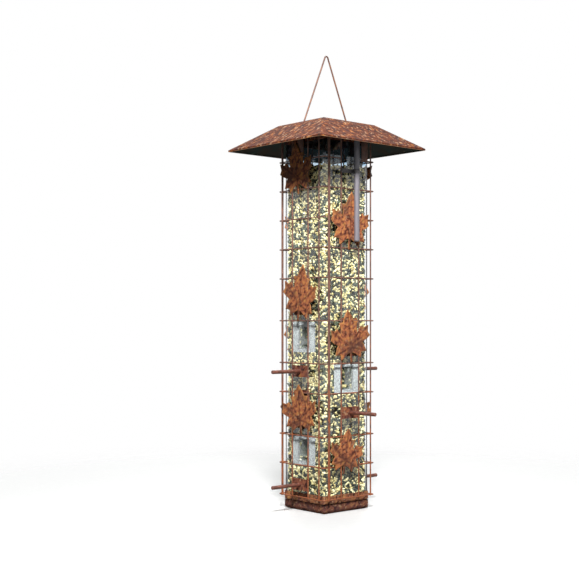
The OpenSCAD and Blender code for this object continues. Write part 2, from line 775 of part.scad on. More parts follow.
base_foot();
base_cup();
base_screws();
seed_tube();
seed_fill();
bail();
lid();
hanging_rod(1);  // hanging_rod_right
hanging_rod(3);  // hanging_rod_left
rod_nut(1);  // rod_nut_right
rod_nut(3);  // rod_nut_left
spring(1);  // spring_right
spring(3);  // spring_left
roof();
roof_tabs();
cage_face(0);  // cage_front
cage_face(2);  // cage_back
cage_seam_face(1);  // cage_right
cage_seam_face(3);  // cage_left
spring_sleeve(1);  // spring_sleeve_right
spring_sleeve(3);  // spring_sleeve_left
sleeve_caps();
sleeve_plugs();
sleeve_clips();
for (s = STATIONS) {
    port(s[1], s[2]);
    perch_plate(s[1], s[2]);
    perch_rod(s[1], s[2]);
    shutter(s[1], s[2], level_z[s[3]]);
}
for (k = [0:3])
    for (l = leaves_of(k))
        leaf(k, l[1], leaf_w * l[2], leaf_w * l[3], leaf_h * l[4], l[5]);
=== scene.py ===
"""Looks of the weight-closing seed feeder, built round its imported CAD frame.

The hopper, the lid and the shroud are dressed as separate assemblies. Sizes are in
metres in the row frame, with the base's underside at z = 0 and the feeder open.
"""

import logging
import math
from collections.abc import Sequence
from dataclasses import dataclass
from enum import Enum

import bpy
import numpy as np
from bpy.types import Material, Mesh, Node, NodeSocket, Object, World
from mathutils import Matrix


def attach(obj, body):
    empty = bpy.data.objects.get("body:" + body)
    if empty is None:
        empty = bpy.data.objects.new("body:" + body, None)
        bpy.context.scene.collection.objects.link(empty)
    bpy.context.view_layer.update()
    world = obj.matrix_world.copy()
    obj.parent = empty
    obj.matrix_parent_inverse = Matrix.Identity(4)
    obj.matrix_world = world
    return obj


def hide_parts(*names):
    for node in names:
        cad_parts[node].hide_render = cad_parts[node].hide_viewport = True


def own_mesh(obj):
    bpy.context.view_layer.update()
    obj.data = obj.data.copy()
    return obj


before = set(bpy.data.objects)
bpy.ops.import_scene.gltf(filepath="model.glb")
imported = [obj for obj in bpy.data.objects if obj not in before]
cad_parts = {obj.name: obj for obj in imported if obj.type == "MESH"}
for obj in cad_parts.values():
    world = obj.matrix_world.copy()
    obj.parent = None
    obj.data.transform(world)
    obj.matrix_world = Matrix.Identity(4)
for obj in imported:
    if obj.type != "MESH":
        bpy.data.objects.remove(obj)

log = logging.getLogger("feeder")
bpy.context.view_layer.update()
MM = 0.001


class Body(str, Enum):
    """Bodies of the CAD frame that pieces ride on."""

    HOPPER = "hopper"
    SHROUD = "shroud"


class Face(int, Enum):
    """Faces of the feeder, counted from the front."""

    FRONT = 0
    RIGHT = 1
    BACK = 2
    LEFT = 3

    def place(self, across: np.ndarray, out: np.ndarray, z: np.ndarray) -> np.ndarray:
        """Turns places on this face into points of the row frame.

        Args:
            across: Distances from the face's middle, to the right as seen from outside.
            out: Distances from the feeder's axis.
            z: Heights.

        Returns:
            The points, with their three coordinates last.
        """
        turn = math.pi / 2 * self.value
        c, s = round(math.cos(turn)), round(math.sin(turn))
        across, out, z = np.broadcast_arrays(across, out, z)
        return np.stack([c * across + s * out, s * across - c * out, z], axis=-1)


# Name of each port, its face and the height of its middle
PORTS: dict[str, tuple[Face, float]] = {
    "front_upper": (Face.FRONT, 256 * MM),
    "front_lower": (Face.FRONT, 89.75 * MM),
    "right": (Face.RIGHT, 195.75 * MM),
    "back_upper": (Face.BACK, 256 * MM),
    "back_lower": (Face.BACK, 89.75 * MM),
    "left": (Face.LEFT, 195.75 * MM),
}


def linear(hex_code: str) -> tuple[float, float, float, float]:
    """Returns the linear RGBA of an sRGB colour written as #RRGGBB."""
    parts = [int(hex_code[i : i + 2], 16) / 255 for i in (1, 3, 5)]
    r, g, b = (p / 12.92 if p <= 0.04045 else ((p + 0.055) / 1.055) ** 2.4 for p in parts)
    return (r, g, b, 1.0)


def per_metre(size_mm: float) -> float:
    """Returns the scale of a texture whose pattern repeats about once in a size in millimetres."""
    return 1000 / size_mm


class Shader:
    """The node tree of a material or of the world, with one way to add a node."""

    def __init__(self, owner: Material | World) -> None:
        """Empties the owner's node tree."""
        owner.use_nodes = True
        self.owner = owner
        self.tree = owner.node_tree
        self.tree.nodes.clear()

    def add(
        self,
        kind: str,
        inputs: dict[str | int, object] | None = None,
        stops: Sequence[tuple[float, str]] = (),
        **settings: object,
    ) -> Node:
        """Adds a node.

        Args:
            kind: Type of the node, without the words ShaderNode in front.
            inputs: Input sockets by name or number, each with a constant or with the socket to link.
            stops: Places and hex colours of a colour ramp.
            **settings: Other properties of the node.

        Returns:
            The new node.
        """
        node = self.tree.nodes.new("ShaderNode" + kind)
        for key, value in settings.items():
            setattr(node, key, value)
        if stops:
            ramp = node.color_ramp
            while len(ramp.elements) < len(stops):
                ramp.elements.new(0.5)
            for element, (place, colour) in zip(ramp.elements, stops):
                element.position, element.color = place, linear(colour)
        for key, value in (inputs or {}).items():
            if isinstance(value, NodeSocket):
                self.tree.links.new(value, node.inputs[key])
            else:
                node.inputs[key].default_value = value
        return node

    def mix(self, share: NodeSocket, under: NodeSocket, over: str) -> NodeSocket:
        """Lays a hex colour over another colour by a share from 0 to 1."""
        return self.add("Mix", {0: share, 6: under, 7: linear(over)}, data_type="RGBA").outputs[2]

    def span(self, value: NodeSocket, low: float, high: float, start: float, end: float) -> NodeSocket:
        """Returns start where a value is low, end where it is high, and a straight line in between."""
        return self.add("MapRange", {0: value, 1: low, 2: high, 3: start, 4: end}).outputs[0]

    def finish(self, surface: NodeSocket, kind: str = "OutputMaterial") -> Material | World:
        """Sends a shader to the tree's output and returns the tree's owner."""
        self.add(kind, {"Surface": surface})
        return self.owner


@dataclass(frozen=True)
class RustCoat:
    """Rust-look coat on steel, sponged on in short slanting dabs of several colours.

    The dabs give the eye a warm, broken red-brown that never reads as one flat paint, and
    the low relief keeps its highlights dull.
    """

    name: str = "rust_look_coat_on_sheet_steel"
    deep: str = "#482B26"
    mid: str = "#783F2F"
    warm: str = "#934F37"
    bright: str = "#C07A42"
    plum: str = "#5E4344"
    fleck: str = "#CDA783"
    dab_mm: float = 2.8
    dab_stretch: float = 1.9
    patch_mm: float = 12.0
    fleck_mm: float = 1.8
    plum_share: float = 0.7
    fleck_share: float = 0.55
    relief_mm: float = 0.15
    roughness: float = 0.78
    gloss: float = 0.1
    # Turns of the dabs about the axes, and noise values at which each colour sets in
    slant: tuple[float, float, float] = (0.0, 1.05, 0.79)
    tone_places: tuple[float, ...] = (0.37, 0.45, 0.53, 0.58, 0.66)
    plum_band: tuple[float, float] = (0.52, 0.64)
    fleck_band: tuple[float, float] = (0.62, 0.72)

    def build(self) -> Material:
        """Returns the coat's material."""
        sh = Shader(bpy.data.materials.new(self.name))
        where = sh.add("TexCoord").outputs["Object"]
        stroke = {"Vector": where, "Rotation": self.slant, "Scale": (1.0, 1.0, self.dab_stretch)}
        slanted = sh.add("Mapping", stroke, vector_type="TEXTURE").outputs[0]
        sponge = {"Scale": per_metre(2 * self.dab_mm), "Detail": 2.0, "Roughness": 0.6, "Distortion": 0.4}
        dabs = sh.add("TexNoise", {"Vector": slanted, **sponge}).outputs[0]
        tones = zip(self.tone_places, (self.deep, self.mid, self.warm, self.warm, self.bright))
        colour = sh.add("ValToRGB", {0: dabs}, stops=list(tones)).outputs[0]
        cloud = {"Scale": per_metre(self.patch_mm), "Detail": 4.0, "Roughness": 0.6}
        patches = sh.add("TexNoise", {"Vector": slanted, **cloud}).outputs[0]
        colour = sh.mix(sh.span(patches, *self.plum_band, 0.0, self.plum_share), colour, self.plum)
        spray = {"Scale": per_metre(2 * self.fleck_mm), "Detail": 1.0, "Roughness": 0.4}
        flecks = sh.add("TexNoise", {"Vector": slanted, **spray}).outputs[0]
        colour = sh.mix(sh.span(flecks, *self.fleck_band, 0.0, self.fleck_share), colour, self.fleck)
        colour = self.trim(sh, where, colour)
        relief = sh.add("Bump", {"Strength": 0.5, "Distance": self.relief_mm * MM, "Height": dabs}).outputs[0]
        dull = {"Roughness": self.roughness, "Specular IOR Level": self.gloss}
        coat = sh.add("BsdfPrincipled", {"Base Color": colour, **dull, "Normal": relief})
        return sh.finish(coat.outputs[0])

    def trim(self, sh: Shader, where: NodeSocket, colour: NodeSocket) -> NodeSocket:
        """Returns the coat's colour with what a certain part adds to it, here nothing."""
        return colour


@dataclass(frozen=True)
class RoofCoat(RustCoat):
    """The rust-look coat on the roof, with its inside in grey-green primer darkened as painted shade.

    The hem is pale, partly from wear and partly as a painted highlight, and draws a thin pale
    line under the roof; the painted shade of the inside deepens the roof's shade.
    """

    name: str = "rust_look_coat_on_roof_sheet"
    deep: str = "#37201A"
    mid: str = "#5D3223"
    warm: str = "#703B28"
    bright: str = "#C07A3E"
    plum: str = "#4C3335"
    fleck: str = "#DCB088"
    dab_mm: float = 2.9
    dab_stretch: float = 1.35
    fleck_mm: float = 2.4
    fleck_share: float = 0.7
    # Grey-green primer of the inside, darkened to paint in the shade under the roof
    inside_primer_in_painted_shade: str = "#3D4842"
    stain: str = "#4B443A"
    stains_per_metre: float = 60.0
    top_z: float = 572 * MM
    top_half: float = 50.8 * MM
    eave_z: float = 536 * MM
    eave_half: float = 104.5 * MM
    hem_z: float = 533.5 * MM
    hem_rise: float = 0.4 * MM
    sheet_drop: float = 0.96 * MM

    @property
    def fall(self) -> float:
        """Returns how far the roof falls for each unit outwards."""
        return (self.top_z - self.eave_z) / (self.eave_half - self.top_half)

    def trim(self, sh: Shader, where: NodeSocket, colour: NodeSocket) -> NodeSocket:
        """Returns the colour with the inside's primer darkened as painted shade, and the hem pale as wear and
        painted highlight.
        """
        axes = sh.add("SeparateXYZ", {0: where}).outputs
        x, y = (sh.add("Math", {0: axes[key]}, operation="ABSOLUTE").outputs[0] for key in "XY")
        out = sh.add("Math", {0: x, 1: y}, operation="MAXIMUM").outputs[0]
        level = sh.add("Math", {0: out, 1: self.fall, 2: axes["Z"]}, operation="MULTIPLY_ADD").outputs[0]
        top = self.top_z + self.top_half * self.fall
        below = sh.span(level, top - 0.7 * self.sheet_drop, top - 0.3 * self.sheet_drop, 1.0, 0.0)
        within = sh.span(out, self.eave_half - 0.6 * MM, self.eave_half - 0.3 * MM, 1.0, 0.0)
        share = sh.add("Math", {0: below, 1: within}, operation="MULTIPLY").outputs[0]
        blotch = {"Vector": where, "Scale": self.stains_per_metre, "Detail": 3.0}
        stains = sh.add("TexNoise", blotch).outputs[0]
        # Painted shade: the inside of the roof gets a dark primer colour, mottled by stains
        primer_in_painted_shade = sh.add("ValToRGB", {0: stains}, stops=[(0.42, self.inside_primer_in_painted_shade), (0.62, self.stain)]).outputs[0]
        colour = sh.add("Mix", {0: share, 6: colour, 7: primer_in_painted_shade}, data_type="RGBA").outputs[2]
        # Pale hem along the roof's lower edge: partly wear, partly a painted highlight
        hem_wear_and_highlight = sh.span(axes["Z"], self.hem_z, self.hem_z + self.hem_rise, 0.7, 0.0)
        return sh.mix(hem_wear_and_highlight, colour, self.fleck)


@dataclass(frozen=True)
class LeafCoat(RustCoat):
    """The rust-look coat on a stamped leaf, rubbed brighter at its edge and darker in its veins.

    The worn rim and the dark veins give the eye each leaf's outline against the cage. The UV
    map holds the share of the way out to the edge, and of the way off a vein.
    """

    name: str = "rust_look_coat_on_stamped_leaf"
    deep: str = "#643A2E"
    mid: str = "#A26048"
    warm: str = "#C57950"
    bright: str = "#DA9858"
    # The plum patches, about 26 mm across, are partly the coat's mottling and partly painted shade on the
    # creased lobes
    plum: str = "#66473E"
    dab_mm: float = 2.4
    patch_mm: float = 26.0
    plum_share: float = 0.85
    fleck_share: float = 0.4
    edge: str = "#CE9256"
    vein: str = "#54312A"
    edge_band: tuple[float, float] = (0.88, 0.98)
    edge_share: float = 0.45
    vein_band: tuple[float, float] = (0.0, 0.4)
    vein_share: float = 0.6

    def trim(self, sh: Shader, where: NodeSocket, colour: NodeSocket) -> NodeSocket:
        """Returns the colour with the worn rim and the dark veins."""
        shares = sh.add("SeparateXYZ", {0: sh.add("TexCoord").outputs["UV"]}).outputs
        colour = sh.mix(sh.span(shares["X"], *self.edge_band, 0.0, self.edge_share), colour, self.edge)
        return sh.mix(sh.span(shares["Y"], *self.vein_band, self.vein_share, 0.0), colour, self.vein)


@dataclass(frozen=True)
class WireCoat:
    """Thin brown dip coat on steel wire, worn through to rust near the ground.

    It gives the eye grey-brown wires that turn warmer and more broken towards the base.
    """

    name: str = "dip_coated_steel_wire"
    coat: str = "#8A6253"
    dark: str = "#64463C"
    rust: str = "#AA6038"
    mottle_mm: float = 5.0
    rust_top: float = 0.30
    ground_wear: float = 0.34
    wear_band: tuple[float, float] = (0.6, 0.78)
    wear_share: float = 0.9
    relief_mm: float = 0.08
    roughness: float = 0.45
    gloss: float = 0.45

    def build(self) -> Material:
        """Returns the wire's material."""
        sh = Shader(bpy.data.materials.new(self.name))
        where = sh.add("TexCoord").outputs["Object"]
        cloud = {"Scale": per_metre(2 * self.mottle_mm), "Detail": 3.0, "Roughness": 0.65}
        mottle = sh.add("TexNoise", {"Vector": where, **cloud}).outputs[0]
        colour = sh.add("ValToRGB", {0: mottle}, stops=[(0.36, self.dark), (0.56, self.coat)]).outputs[0]
        height = sh.add("SeparateXYZ", {0: where}).outputs["Z"]
        low = sh.span(height, 0.0, self.rust_top, self.ground_wear, 0.0)
        wear = sh.add("Math", {0: mottle, 1: low}, operation="ADD").outputs[0]
        colour = sh.mix(sh.span(wear, *self.wear_band, 0.0, self.wear_share), colour, self.rust)
        bump = {"Strength": 0.35, "Distance": self.relief_mm * MM, "Height": mottle}
        relief = sh.add("Bump", bump).outputs[0]
        satin = {"Roughness": self.roughness, "Specular IOR Level": self.gloss}
        wire = sh.add("BsdfPrincipled", {"Base Color": colour, **satin, "Normal": relief})
        return sh.finish(wire.outputs[0])


@dataclass(frozen=True)
class BareMetal:
    """Plated or painted small metalware with a fine brushed or cast grain.

    The grain breaks up its highlight, so that it reads as dull metal and not as plastic.
    """

    name: str
    colour: str
    shade: str
    metallic: float
    roughness: float
    grain_mm: float = 1.2
    stretch: tuple[float, float, float] = (1.0, 1.0, 0.15)
    spread: float = 0.08
    relief_mm: float = 0.05

    def build(self) -> Material:
        """Returns the metal's material."""
        sh = Shader(bpy.data.materials.new(self.name))
        where = sh.add("TexCoord").outputs["Object"]
        drawn = sh.add("Mapping", {"Vector": where, "Scale": self.stretch}).outputs[0]
        lines = {"Scale": per_metre(2 * self.grain_mm), "Detail": 2.0, "Roughness": 0.6}
        grain = sh.add("TexNoise", {"Vector": drawn, **lines}).outputs[0]
        colour = sh.add("ValToRGB", {0: grain}, stops=[(0.38, self.shade), (0.6, self.colour)]).outputs[0]
        rough = sh.span(grain, 0.3, 0.7, self.roughness + self.spread, self.roughness - self.spread)
        bump = {"Strength": 0.2, "Distance": self.relief_mm * MM, "Height": grain}
        relief = sh.add("Bump", bump).outputs[0]
        plain = {"Metallic": self.metallic, "Roughness": rough}
        metal = sh.add("BsdfPrincipled", {"Base Color": colour, **plain, "Normal": relief})
        return sh.finish(metal.outputs[0])


@dataclass(frozen=True)
class ClearPlastic:
    """Extruded or moulded clear plastic that lets lamps through to what it holds.

    A faint cold tint gives the plastic its colour; above the given height a stronger pale blue is
    painted in as light seen through the empty end, and slow ripples of the surface bend the reflections.
    """

    name: str
    tint: str
    painted_light_tint_above: str
    above_z: float
    roughness: float
    transmission: float = 1.0
    gloss: float = 0.25
    ior: float = 1.49
    tint_rise: float = 4 * MM
    ripple_mm: float = 40.0
    ripple_height_mm: float = 0.3
    lamp_share: str = "#FDFDFD"

    def build(self) -> Material:
        """Returns the plastic's material."""
        sh = Shader(bpy.data.materials.new(self.name))
        where = sh.add("TexCoord").outputs["Object"]
        height = sh.add("SeparateXYZ", {0: where}).outputs["Z"]
        # Painted light: above the given height the tint turns to the pale blue of light seen through the
        # empty end
        share = sh.span(height, self.above_z, self.above_z + self.tint_rise, 0.0, 1.0)
        base = sh.add("RGB")
        base.outputs[0].default_value = linear(self.tint)
        colour = sh.mix(share, base.outputs[0], self.painted_light_tint_above)
        swell = {"Vector": where, "Scale": per_metre(self.ripple_mm), "Detail": 1.0}
        ripple = sh.add("TexNoise", swell).outputs[0]
        bump = {"Strength": 0.15, "Distance": self.ripple_height_mm * MM, "Height": ripple}
        relief = sh.add("Bump", bump).outputs[0]
        plastic = sh.add(
            "BsdfPrincipled",
            {
                "Base Color": colour,
                "Transmission Weight": self.transmission,
                "Roughness": self.roughness,
                "Specular IOR Level": self.gloss,
                "IOR": self.ior,
                "Normal": relief,
            },
        )
        open_to_lamps = sh.add("BsdfTransparent", {"Color": linear(self.lamp_share)})
        lamp_ray = sh.add("LightPath").outputs["Is Shadow Ray"]
        both = sh.add("MixShader", {0: lamp_ray, 1: plastic.outputs[0], 2: open_to_lamps.outputs[0]})
        return sh.finish(both.outputs[0])


@dataclass(frozen=True)
class SeedHusk:
    """Dry husk of one kind of seed, varied from seed to seed by a pattern as wide as a seed.

    It gives the eye a grainy mass in which each seed is a little lighter or darker.
    """

    name: str
    pale: str
    mid: str
    dark: str
    seed_mm: float = 6.0
    streak_mm: float = 1.5
    streak_share: float = 0.35
    relief_mm: float = 0.1
    roughness: float = 0.6

    def build(self) -> Material:
        """Returns the husk's material."""
        sh = Shader(bpy.data.materials.new(self.name))
        where = sh.add("TexCoord").outputs["Object"]
        each = sh.add("TexVoronoi", {"Vector": where, "Scale": per_metre(self.seed_mm)}).outputs["Color"]
        tone = sh.add("SeparateColor", {0: each}).outputs[0]
        fine = {"Vector": where, "Scale": per_metre(self.streak_mm), "Detail": 2.0}
        streaks = sh.add("TexNoise", fine).outputs[0]
        both = sh.add("Mix", {0: self.streak_share, 2: tone, 3: streaks}, data_type="FLOAT").outputs[0]
        stops = [(0.12, self.dark), (0.42, self.mid), (0.74, self.pale)]
        colour = sh.add("ValToRGB", {0: both}, stops=stops).outputs[0]
        bump = {"Strength": 0.3, "Distance": self.relief_mm * MM, "Height": streaks}
        relief = sh.add("Bump", bump).outputs[0]
        dry = {"Base Color": colour, "Roughness": self.roughness, "Normal": relief}
        husk = sh.add("BsdfPrincipled", dry)
        return sh.finish(husk.outputs[0])


def build_mesh(name: str, verts: np.ndarray, faces: Sequence[np.ndarray], smooth: bool = True) -> Mesh:
    """Makes a mesh from arrays.

    Args:
        name: Name of the mesh.
        verts: Points, one to a row.
        faces: Arrays of point numbers, each with one face to a row.
        smooth: Whether the faces are shaded smooth.

    Returns:
        The new mesh.
    """
    sizes = np.concatenate([np.full(len(f), f.shape[1]) for f in faces])
    loops = np.concatenate([f.ravel() for f in faces]).astype(np.int32)
    mesh = bpy.data.meshes.new(name)
    mesh.vertices.add(len(verts))
    mesh.vertices.foreach_set("co", np.ascontiguousarray(verts, np.float32).ravel())
    mesh.loops.add(len(loops))
    mesh.loops.foreach_set("vertex_index", loops)
    mesh.polygons.add(len(sizes))
    mesh.polygons.foreach_set("loop_start", (np.cumsum(sizes) - sizes).astype(np.int32))
    mesh.polygons.foreach_set("use_smooth", np.full(len(sizes), smooth))
    mesh.update(calc_edges=True)
    mesh.validate()
    return mesh


def add_piece(
    name: str,
    mesh: Mesh,
    body: Body,
    materials: Sequence[Material],
    replaces: Sequence[str] = (),
) -> Object:
    """Adds a piece of the visual model that rides on a body.

    Args:
        name: Name of the piece.
        mesh: Its mesh, in the row frame.
        body: Body that it moves with.
        materials: Its materials, in the order of the faces' material numbers.
        replaces: CAD nodes that it stands for.

    Returns:
        The new object.
    """
    for material in materials:
        mesh.materials.append(material)
    piece = bpy.data.objects.new(name, mesh)
    bpy.context.scene.collection.objects.link(piece)
    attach(piece, body.value)
    if replaces:
        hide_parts(*replaces)
    log.info("%s: %d faces on %s", name, len(mesh.polygons), body.value)
    return piece


def dress_nodes(material: Material, *nodes: str) -> None:
    """Gives CAD nodes a material through their slots."""
    for node in nodes:
        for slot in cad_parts[node].material_slots:
            slot.material = material


def ring_quads(rings: int, sides: int) -> np.ndarray:
    """Returns the quads between stacked closed rings, whose points are numbered ring after ring."""
    i, k = np.meshgrid(np.arange(rings - 1), np.arange(sides), indexing="ij")
    here, after = i * sides + k, i * sides + (k + 1) % sides
    return np.stack([here, after, after + sides, here + sides], axis=-1).reshape(-1, 4)


def end_fans(rings: int, sides: int) -> np.ndarray:
    """Returns the triangles from the first and last rings to two points numbered after the rings."""
    k = np.arange(sides)
    after = (k + 1) % sides
    last, tip = (rings - 1) * sides, rings * sides
    low = np.stack([after, k, np.full(sides, tip)], axis=-1)
    high = np.stack([last + k, last + after, np.full(sides, tip + 1)], axis=-1)
    return np.vstack([low, high])


def sweep(
    path: np.ndarray, towards: np.ndarray, radius: float, sides: int
) -> tuple[np.ndarray, list[np.ndarray]]:
    """Sweeps a closed round wire along a path.

    Args:
        path: Points of the wire's middle line.
        towards: For each point, a direction that the ring's first point lies in.
        radius: Radius of the wire.
        sides: Points in each ring.

    Returns:
        The points, and the faces as an array of quads and one of the two end caps.
    """
    along = np.gradient(path, axis=0)
    along /= np.linalg.norm(along, axis=1, keepdims=True)
    u = towards - along * np.sum(towards * along, axis=1, keepdims=True)
    u /= np.linalg.norm(u, axis=1, keepdims=True)
    v = np.cross(along, u)
    a = np.linspace(0, 2 * math.pi, sides, endpoint=False)[None, :, None]
    verts = path[:, None] + radius * (u[:, None] * np.cos(a) + v[:, None] * np.sin(a))
    last = (len(path) - 1) * sides
    caps = np.stack([np.arange(sides)[::-1], last + np.arange(sides)])
    return verts.reshape(-1, 3), [ring_quads(len(path), sides), caps]


def round_corners(points: np.ndarray, radius: float, steps: int) -> np.ndarray:
    """Rounds each corner of an open path by an arc.

    Args:
        points: Corners of the path, with its two ends.
        radius: Radius of the arcs.
        steps: Spans of each arc.

    Returns:
        Points of the rounded path.
    """
    run = np.diff(points, axis=0)
    run /= np.linalg.norm(run, axis=1, keepdims=True)
    before, after = run[:-1], run[1:]
    turn = np.arccos(np.clip(np.sum(before * after, axis=1), -1, 1))[:, None]
    middle = after - before
    middle /= np.linalg.norm(middle, axis=1, keepdims=True)
    centre = points[1:-1] + middle * radius / np.cos(turn / 2)
    spoke = -middle * radius
    a = (np.linspace(-0.5, 0.5, steps + 1)[None, :] * turn)[..., None]
    side = before + after
    side /= np.linalg.norm(side, axis=1, keepdims=True)
    arcs = centre[:, None] + spoke[:, None] * np.cos(a) + radius * side[:, None] * np.sin(a)
    return np.vstack([points[:1], arcs.reshape(-1, 3), points[-1:]])


def closed_grid(rows: np.ndarray) -> tuple[np.ndarray, list[np.ndarray]]:
    """Skins closed rings of points, stacked in order, and shuts both ends.

    Args:
        rows: Rings of points by ring, place in the ring and coordinate, each counter-clockwise
            as seen from the end of the stack.

    Returns:
        The points, and the faces as quads and the end triangles.
    """
    rings, sides = rows.shape[:2]
    verts = np.vstack([rows.reshape(-1, 3), rows[0].mean(0)[None], rows[-1].mean(0)[None]])
    return verts, [ring_quads(rings, sides), end_fans(rings, sides)]


def waves(points: np.ndarray, length: float, rng: np.random.Generator, terms: int = 6) -> np.ndarray:
    """Adds up waves of random directions.

    Args:
        points: Points, with their coordinates last.
        length: Length of the waves.
        rng: Seeded source of the waves' directions.
        terms: Number of waves added up.

    Returns:
        A smooth height, about -1 to 1, for each point.
    """
    ways = rng.normal(size=(terms, points.shape[-1]))
    ways *= 2 * math.pi / length / np.linalg.norm(ways, axis=1, keepdims=True)
    phase = rng.uniform(0, 2 * math.pi, terms)
    return np.sin(points @ ways.T + phase).sum(-1) / math.sqrt(terms * 2)


@dataclass(frozen=True)
class SeedKind:
    """Size of one kind of seed: half its length, width and thickness."""

    half: tuple[float, float, float]
    material: Material
    share: float


@dataclass
class SeedBulk:
    """Loose seed in the tube: a lumpy core, and single seeds at the walls, on top and in the ports."""

    pale: Material
    dark: Material
    half: float = 41.7 * MM
    low_z: float = 16.6 * MM
    top_z: float = 509 * MM
    heap: float = 3 * MM
    core_half: float = 35.5 * MM
    core_columns: int = 18
    core_step: float = 3.8 * MM
    core_lump: float = 0.5 * MM
    lump_length: float = 9 * MM
    # Steps across and up between seeds, and depths of the layers below the wall and the top
    step: tuple[float, float] = (4.0 * MM, 3.6 * MM)
    wall_layers: tuple[float, float] = (1.9 * MM, 4.6 * MM)
    top_layers: tuple[float, float] = (1.0 * MM, 3.2 * MM)
    top_wave: float = 1.2 * MM
    wave_length: float = 45 * MM
    # Half-sizes of a port's hood, and how far out the core reaches behind one
    hood_half: tuple[float, float] = (12.7 * MM, 17.2 * MM)
    pocket_out: float = 25.2 * MM
    lean: float = 0.22
    ring_sides: int = 5
    random_seed: int = 11

    def kinds(self) -> list[SeedKind]:
        """Returns the kinds of seed in the mix."""
        return [
            SeedKind((2.9 * MM, 1.75 * MM, 1.5 * MM), self.pale, 0.57),
            SeedKind((3.9 * MM, 2.0 * MM, 1.4 * MM), self.dark, 0.43),
        ]

    def shape(self) -> tuple[np.ndarray, np.ndarray, np.ndarray]:
        """Returns one seed of half-sizes 1: its points, its quads and its triangles."""
        x = np.array([-0.62, 0.05, 0.66])[:, None]
        r = np.array([0.78, 1.0, 0.58])[:, None]
        a = np.arange(self.ring_sides) * 2 * math.pi / self.ring_sides
        rings = np.stack(np.broadcast_arrays(x, r * np.cos(a), r * np.sin(a)), axis=-1)
        verts = np.vstack([rings.reshape(-1, 3), [[-1, 0, 0], [1, 0, 0]]])
        return verts, ring_quads(len(x), self.ring_sides), end_fans(len(x), self.ring_sides)

    def at_hood(self, face: Face, across: np.ndarray, z: np.ndarray, spare: float) -> np.ndarray:
        """Finds the places of a face that a port's hood takes up.

        Args:
            face: The face.
            across: The places' distances from the face's middle.
            z: Their heights.
            spare: Distance round a hood that is taken up too.

        Returns:
            True for each place that is taken up.
        """
        wide, high = self.hood_half
        taken = np.zeros(across.shape, bool)
        for port_face, port_z in PORTS.values():
            if port_face is face:
                taken |= (abs(across) < wide + spare) & (abs(z - port_z) < high + spare)
        return taken

    def scatter(
        self, name: str, centres: np.ndarray, normals: np.ndarray, rng: np.random.Generator
    ) -> Object:
        """Lays seeds flat at given places.

        Args:
            name: Name of the piece.
            centres: Middles of the seeds.
            normals: Directions that the seeds' flat sides face.
            rng: Seeded source of their turns and sizes.

        Returns:
            The piece that holds them all.
        """
        count = len(centres)
        kinds = self.kinds()
        kind = rng.choice(len(kinds), count, p=[k.share for k in kinds])
        half = np.array([k.half for k in kinds])[kind] * rng.uniform(0.84, 1.1, (count, 1))
        lean = normals + rng.normal(0, self.lean, (count, 3))
        w = lean / np.linalg.norm(lean, axis=1, keepdims=True)
        u = np.cross(w, rng.normal(size=(count, 3)))
        u /= np.linalg.norm(u, axis=1, keepdims=True)
        axes = np.stack([u, np.cross(w, u), w], axis=1) * half[:, :, None]
        shape, quads, tris = self.shape()
        verts = centres[:, None] + np.einsum("vk,nkc->nvc", shape, axes)
        first = (np.arange(count) * len(shape))[:, None, None]
        faces = [(quads + first).reshape(-1, 4), (tris + first).reshape(-1, 3)]
        mesh = build_mesh(name, verts.reshape(-1, 3), faces)
        numbers = np.concatenate([np.repeat(kind, len(quads)), np.repeat(kind, len(tris))])
        mesh.polygons.foreach_set("material_index", numbers.astype(np.int32))
        return add_piece(name, mesh, Body.HOPPER, [k.material for k in kinds])

    def core(self, rng: np.random.Generator) -> Object:
        """Builds the lumpy mass behind the single seeds, with a pocket at each port."""
        across = np.linspace(-1, 1, self.core_columns, endpoint=False) * self.core_half
        z = np.arange(self.low_z, self.top_z - 4 * MM, self.core_step)
        sides = []
        for face in Face:
            a, up = np.meshgrid(across, z)
            depth = np.where(self.at_hood(face, a, up, 1 * MM), self.pocket_out, self.core_half)
            points = face.place(a, depth, up)
            lumps = self.core_lump * waves(points, self.lump_length, rng)
            points += lumps[..., None] * np.array([1, 1, 0])
            sides.append(points)
        verts, faces = closed_grid(np.concatenate(sides, axis=1))
        mesh = build_mesh("seed_core", verts, faces)
        return add_piece("seed_core", mesh, Body.HOPPER, [self.dark], ["seed_fill"])

    def wall(self, face: Face, rng: np.random.Generator) -> Object:
        """Lays two layers of seeds behind one wall of the tube."""
        reach = self.half - 2.6 * MM
        places = []
        for depth in self.wall_layers:
            a = np.arange(-reach, reach + 0.1 * MM, self.step[0])
            z = np.arange(self.low_z + 3 * MM, self.top_z - 2 * MM, self.step[1])
            a, z = np.meshgrid(a, z)
            a = a + rng.uniform(-0.42, 0.42, a.shape) * self.step[0]
            z = z + rng.uniform(-0.42, 0.42, z.shape) * self.step[1]
            out = self.half - depth - rng.uniform(0, 0.9 * MM, a.shape)
            places.append(np.stack([np.clip(a, -reach, reach), out, z], axis=-1).reshape(-1, 3))
        a, out, z = np.vstack(places).T
        centres = face.place(a, out, z)[~self.at_hood(face, a, z, 2.6 * MM)]
        normals = np.broadcast_to(face.place(np.array(0), np.array(1), np.array(0)), centres.shape)
        return self.scatter(f"seed_wall_{face.name.lower()}", centres, normals, rng)

